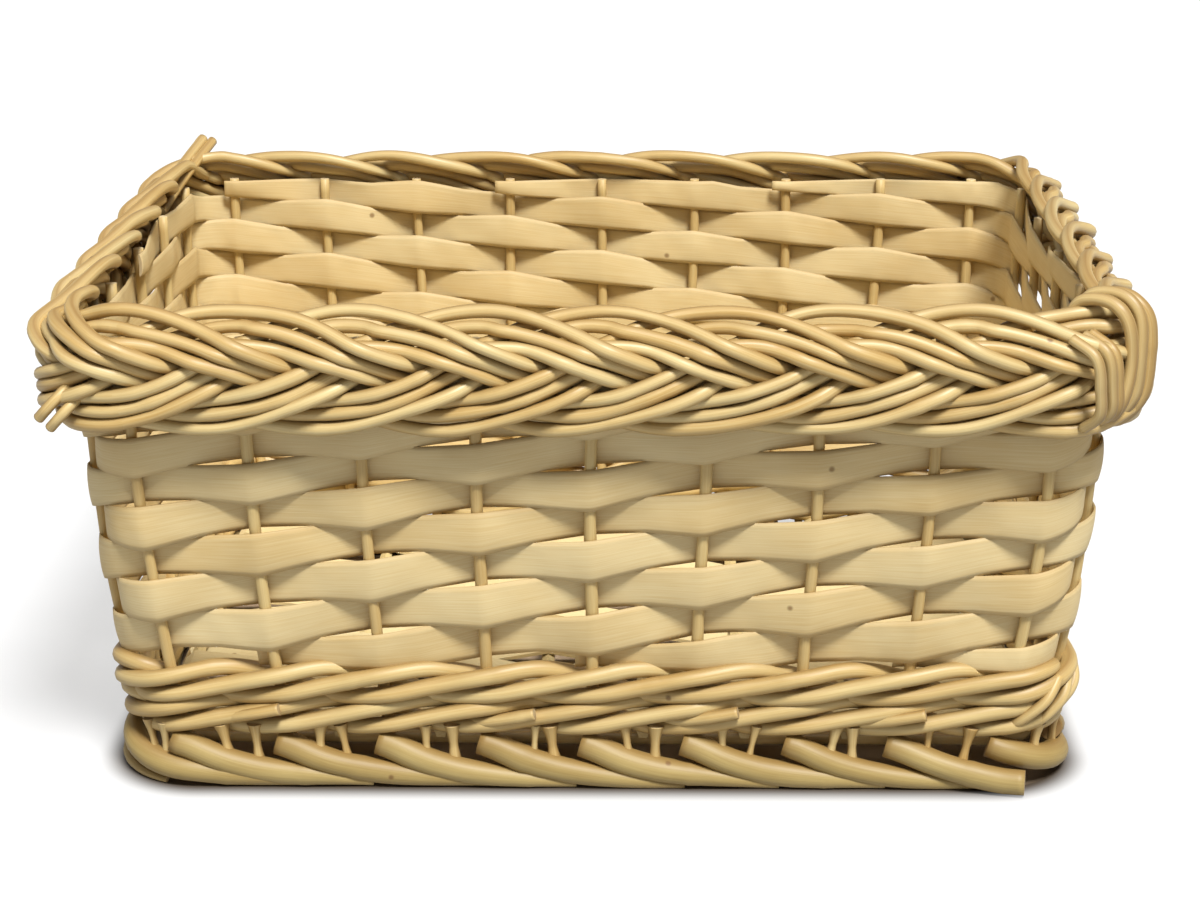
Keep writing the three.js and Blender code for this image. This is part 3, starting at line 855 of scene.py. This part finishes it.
for s in range(strands):
    for r in range(rods_in_strand):
        which = s * rods_in_strand + r
        distance = (turn // rim_points) * rim_period + flat_rods[which, turn % rim_points, 0]
        across = flat_rods[which, turn % rim_points, 1]
        depth = depths[which, turn % rim_points]
        higher = uneven_round((7, 16, 29))
        fatter = uneven_round((5, 11, 23))
        middle, out, _ = rim_line(distance)
        path = np.concatenate([middle, (rim_height + across + higher)[:, None]], 1)
        path = path + out * depth[:, None]
        size = rim_radius * (1 + uneven_thickness * fatter)
        grid, along = rod_grid(path, out, size, 700 + which, ring=True)
        grid_piece(f"rim_rod_{s + 1}_{r + 1}", grid, True, [border_rod],
                   rim_rng.uniform(0.05, 0.9), along,
                   [f"border_strand_{s + 1}_rod_{i}" for i in ((1,), (1, 2), (2,))[r]],
                   rim_flank_shade)
print("rim rods", strands * rods_in_strand)

# %% [markdown]
# A rod is never as long as the way that it has to go, so there are ends. The last rods of the
# plait are wound round the rim at the front right corner and tucked away, and a few others stick
# out at the left corners. Each end is a short rod through a handful of points.

# %% Ends at the rim
end_rng = np.random.default_rng(77)
end_steps = 9
loop_lean = np.array([-2, -2, -1, 0, 1, 2, 2, 0, -3, -5])
loop_out = np.array([-6, -6.5, -3, 5, 13, 18.5, 20.0, 19.0, 13, 6])
loop_up = np.array([190, 200, 208, 210.5, 209, 202, 188, 173, 163, 160])
left_end = np.array([[-200, -145, 178], [-205, -153, 174], [-210, -155, 169], [-214, -153, 164.5]])
back_end = np.array([[-214, 92, 188], [-208, 114, 198], [-202, 136, 206], [-197, 152, 212.0]])


def loose_rod(name, points, side, radius, material, seed):
    """A short rod through some points. Its sections keep one corner turned to the side given."""
    curve = smooth_path(points, end_steps)
    grid, along = rod_grid(curve, np.broadcast_to(side, curve.shape), radius, seed)
    # A loose rod gets painted shade on its flanks, as the other rods do.
    grid_piece(name, grid, False, [material, end_grain], end_rng.uniform(0.2, 0.9), along, [],
               rod_flank_shade())


def at_corner(along, outward, z):
    """Points at the rim's front right corner: the way along the rim, the way out, the height."""
    out = np.array([1, -1]) / math.sqrt(2)
    ahead = np.array([1, 1]) / math.sqrt(2)
    middle = np.array([straight_half_length, -straight_half_width]) + out * wall_corner
    xy = middle + np.outer(along, ahead) + np.outer(outward, out)
    return np.column_stack([xy, z]), np.array([*ahead, 0.0])


for i, (place, higher) in enumerate(((-6.0, 0), (0.0, 1.5), (5.6, 0.5))):
    lean = loop_lean + end_rng.uniform(-0.7, 0.7, 10)
    points, ahead = at_corner(place + lean, loop_out + 0.5 * i, loop_up + higher)
    loose_rod(f"corner_loop_{i + 1}", points, ahead, 2.6, border_rod, 810 + i)
for i, (start, end) in enumerate(((-17.5, -12.5), (-13.0, -9.5), (-25.0, -20.0))):
    points, ahead = at_corner(np.linspace(start, end, 5), [7, 18, 20, 19, 11],
                              [199, 193, 180, 170, 163])
    loose_rod(f"corner_end_{i + 1}", points, ahead, 2.2, border_rod, 820 + i)
for i, step in enumerate((0.0, 4.6)):
    points = left_end + (step, -0.3 * step, -0.75 * step)
    loose_rod(f"left_end_{i + 1}", points, [0, -1, 0], 2.2, border_rod, 830 + i)
for i, step in enumerate((0.0, 4.6)):
    points = back_end + (step, 0.1 * step, -0.3 * step)
    loose_rod(f"back_end_{i + 1}", points, [1, 0, 0], 2.3, border_rod, 840 + i)
print("pieces so far", len(pieces))

# %% [markdown]
# Real wale rods are only some 40 cm long here. A new one is laid in where the old one ends, with
# its short end in front, and three turn up at the front right corner.

# %% Ends in the wale
wale_ends = (0.9, 3.35, 5.3, 7.1, 10.4, 12.6, 15.5, 18.3, 20.6, 24.6, 26.3)
for i, t in enumerate(wale_ends):
    z = end_rng.uniform(30, 45) + np.array([-5.0, -3.0, 0, 2.6])
    points = wall_point(t + np.array([-0.62, -0.4, -0.15, 0.1]), np.array([0.5, 5.6, 8.6, 9.6]), z)
    loose_rod(f"wale_end_{i + 1}", points, way_out(np.array(t)), 2.5, peeled_rod,
              850 + i)

for i, (start, low) in enumerate(((8.05, 26.0), (8.3, 25.0), (8.5, 29.0))):
    points = wall_point(start + np.array([0.0, 0.1, 0.28, 0.48]), np.array([3.0, 7.0, 8.6, 5.5]),
                        low + np.array([0, 5.0, 13, 21]))
    loose_rod(f"wale_corner_{i + 1}", points, way_out(np.array(start)), 2.4, peeled_rod,
              865 + i)
print("pieces so far", len(pieces))

# %% [markdown]
# Between the wale and the foot the split ends of the base's own sticks show as little posts with
# a waist, two for each upright, from the foot rod up into the wale.

# %% Posts over the foot
post_top, post_points = 26.5, 7
post_places, post_out = (21, 34), (8.0, 4.5)
post_sections = (post_points - 1) * end_steps + 1
post_shape = 1.75 + 1.7 * np.abs(np.linspace(-1, 1, post_sections)) ** 1.6
for n in range(upright_count):
    for i, place in enumerate(post_places):
        place = place + end_rng.uniform(-4.0, 4.0)
        t = walk(foot_start(n), place)
        z = np.linspace(np.interp(place, foot_along, foot_middle), post_top, post_points)
        slant = np.linspace(-0.02, 0.02, post_points) * end_rng.uniform(-1.5, 1.5)
        points = wall_point(t + slant, np.linspace(*post_out, post_points), z)
        loose_rod(f"stake_end_{2 * n + i + 1}", points, way_out(np.array(t)),
                  end_rng.uniform(0.7, 1.1) * post_shape, peeled_rod,
                  870 + 2 * n + i)
print("pieces so far", len(pieces))

# %% [markdown]
# The base is seen only from below and from inside: eight sticks and one broad split strip woven
# to and fro through them. The solids already have that shape, so they stay and only get the wood.
# Two thin rods run round the edge of the base, under the ends of its sticks.

# %% Base
base_sticks = 8
edge_radius, edge_sides = 2.35, 10


def cover(node_name, material):
    """Gives a solid that stays a material in place of its plain one."""
    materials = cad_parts[node_name].data.materials
    materials.clear()
    materials.append(material)


for i in range(base_sticks):
    cover(f"base_stick_{i + 1}", base_rod)
cover("base_weave", base_strip)
edge_bays = np.linspace(0, upright_count, upright_count * 24, endpoint=False)
for i, (inside, z) in enumerate(((4.6, 15.2), (9.0, 15.0))):
    wavy = inside + 0.3 * np.sin(2 * np.pi * edge_bays * (5 + 2 * i) / upright_count)
    path = wall_point(edge_bays, -wavy, z)
    grid, along = rod_grid(path, way_out(edge_bays), edge_radius, 980 + i, edge_sides, True)
    # The edge rods get painted shade on their flanks too.
    grid_piece(f"base_edge_{i + 1}", grid, True, [peeled_stick], 0.5, along, [],
               rod_flank_shade(edge_sides))
print("pieces", len(pieces))

# %% [markdown]
# The photograph is a plain packshot on white paper. The camera sees the open floor as white, which
# it gets from a glow that only the camera sees. The glow starts outside the foot, so that the floor
# is dark under the basket, as in the photograph. There the paper's colour is painted shade: a warm
# brown under the basket, so that its shade takes the willow's warmth, and a narrow dark brown band
# along the foot, a painted contact shadow. The glow and the colours follow the distance from a
# rectangle inside the foot's rounded outline.

# %% Floor
floor_reach = 8.0
foot_inner = (0.162, 0.102, 0.0)
shade_near, shade_far = 0.022, 0.049
glow_near, glow_far, glow_strength = 0.036, 0.048, 0.56
# The paper's colours: painted warm shade under the basket, a painted contact shadow along the foot,
# and the grey paper.
paper_and_painted_shade = ((0.0, "#cbb090"), (0.5, "#4d4338"), (1.0, "#969696"))


def vector_node(tree, operation, *values):
    """A Vector Math node on some sockets or vectors."""
    return add_node(tree, "ShaderNodeVectorMath", dict(enumerate(values)), operation=operation)


floor_mesh = bpy.data.meshes.new("floor")
floor_mesh.from_pydata([(-floor_reach, -floor_reach, 0), (floor_reach, -floor_reach, 0),
                        (floor_reach, floor_reach, 0), (-floor_reach, floor_reach, 0)],
                       [], [(0, 1, 2, 3)])
floor = show("floor", floor_mesh)
floor_material = bpy.data.materials.new("white_paper")
tree = new_tree(floor_material)
place = add_node(tree, "ShaderNodeTexCoord").outputs["Object"]
beyond = vector_node(tree, "ABSOLUTE", place).outputs[0]
beyond = vector_node(tree, "SUBTRACT", beyond, foot_inner).outputs[0]
beyond = vector_node(tree, "MAXIMUM", beyond, (0.0, 0.0, 0.0)).outputs[0]
beyond = vector_node(tree, "LENGTH", beyond).outputs["Value"]
shade = add_node(tree, "ShaderNodeMapRange", {
    "Value": beyond, "From Min": shade_near, "From Max": shade_far}).outputs["Result"]
ramp = add_node(tree, "ShaderNodeValToRGB", {"Fac": shade})
ramp.color_ramp.elements.new(0.5)
for stop, (at, colour) in zip(ramp.color_ramp.elements, paper_and_painted_shade):
    stop.position, stop.color = at, linear(colour)
paper_seen = add_node(tree, "ShaderNodeBsdfDiffuse", {"Color": ramp.outputs["Color"]})
glow = add_node(tree, "ShaderNodeMapRange", {
    "Value": beyond, "From Min": glow_near, "From Max": glow_far,
    "To Min": 0.0, "To Max": glow_strength}, interpolation_type="SMOOTHSTEP").outputs["Result"]
paper_glow = add_node(tree, "ShaderNodeEmission", {"Color": (1, 1, 1, 1), "Strength": glow})
paper_lit = add_node(tree, "ShaderNodeAddShader", {
    0: paper_seen.outputs[0], 1: paper_glow.outputs[0]})
paper = add_node(tree, "ShaderNodeBsdfDiffuse", {"Color": linear("#a6a6a6")})
either = add_node(tree, "ShaderNodeMixShader", {
    0: add_node(tree, "ShaderNodeLightPath").outputs["Is Camera Ray"],
    1: paper.outputs[0], 2: paper_lit.outputs[0]})
add_node(tree, "ShaderNodeOutputMaterial", {"Surface": either.outputs[0]})
floor_mesh.materials.append(floor_material)
floor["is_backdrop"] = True
print("floor", 2 * floor_reach, "m wide")

# %% [markdown]
# One large lamp stands high in front and a little to the right: it draws the soft grey shadow at
# the left and the dark triangles under each strip. A weak square lamp above and a dim white world
# fill the shade. The camera sees the world as white, but that white lights nothing.

# %% World and lamps
fill_strength, white_strength = 0.28, 1.0
key_height, key_side = math.radians(60), math.radians(25)

world = bpy.data.worlds.new("world")
bpy.context.scene.world = world
tree = new_tree(world)
seen = add_node(tree, "ShaderNodeBackground", {"Color": (1, 1, 1, 1), "Strength": white_strength})
fill = add_node(tree, "ShaderNodeBackground", {"Color": (1, 1, 1, 1), "Strength": fill_strength})
either = add_node(tree, "ShaderNodeMixShader", {
    0: add_node(tree, "ShaderNodeLightPath").outputs["Is Camera Ray"],
    1: fill.outputs[0], 2: seen.outputs[0]})
add_node(tree, "ShaderNodeOutputWorld", {"Surface": either.outputs[0]})

key_data = bpy.data.lights.new("key", "SUN")
key_data.angle = math.radians(15)
key_data.energy = 4.45
key = show("key", key_data)
key.location = (0.6, -1.2, 2.4)
key.rotation_euler = (math.pi / 2 - key_height, 0, key_side)

top_data = bpy.data.lights.new("top", "AREA")
top_data.shape = "SQUARE"
top_data.size = 3.2
top_data.energy = 30.0
top = show("top", top_data)
top.location = (0.0, -0.3, 2.4)
print("lamps", [lamp.name for lamp in bpy.data.lights])

# %% [markdown]
# The sizes of the solids and of the dressed basket are gathered, and the basket's size is printed.

# %% Finish
bpy.context.scene.view_settings.view_transform = "Standard"
size = {"solids": [list(c) for c in solid_box], "visual": [list(c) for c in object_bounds()]}
print("the model fills", [[round(v, 4) for v in c] for c in size["visual"]])
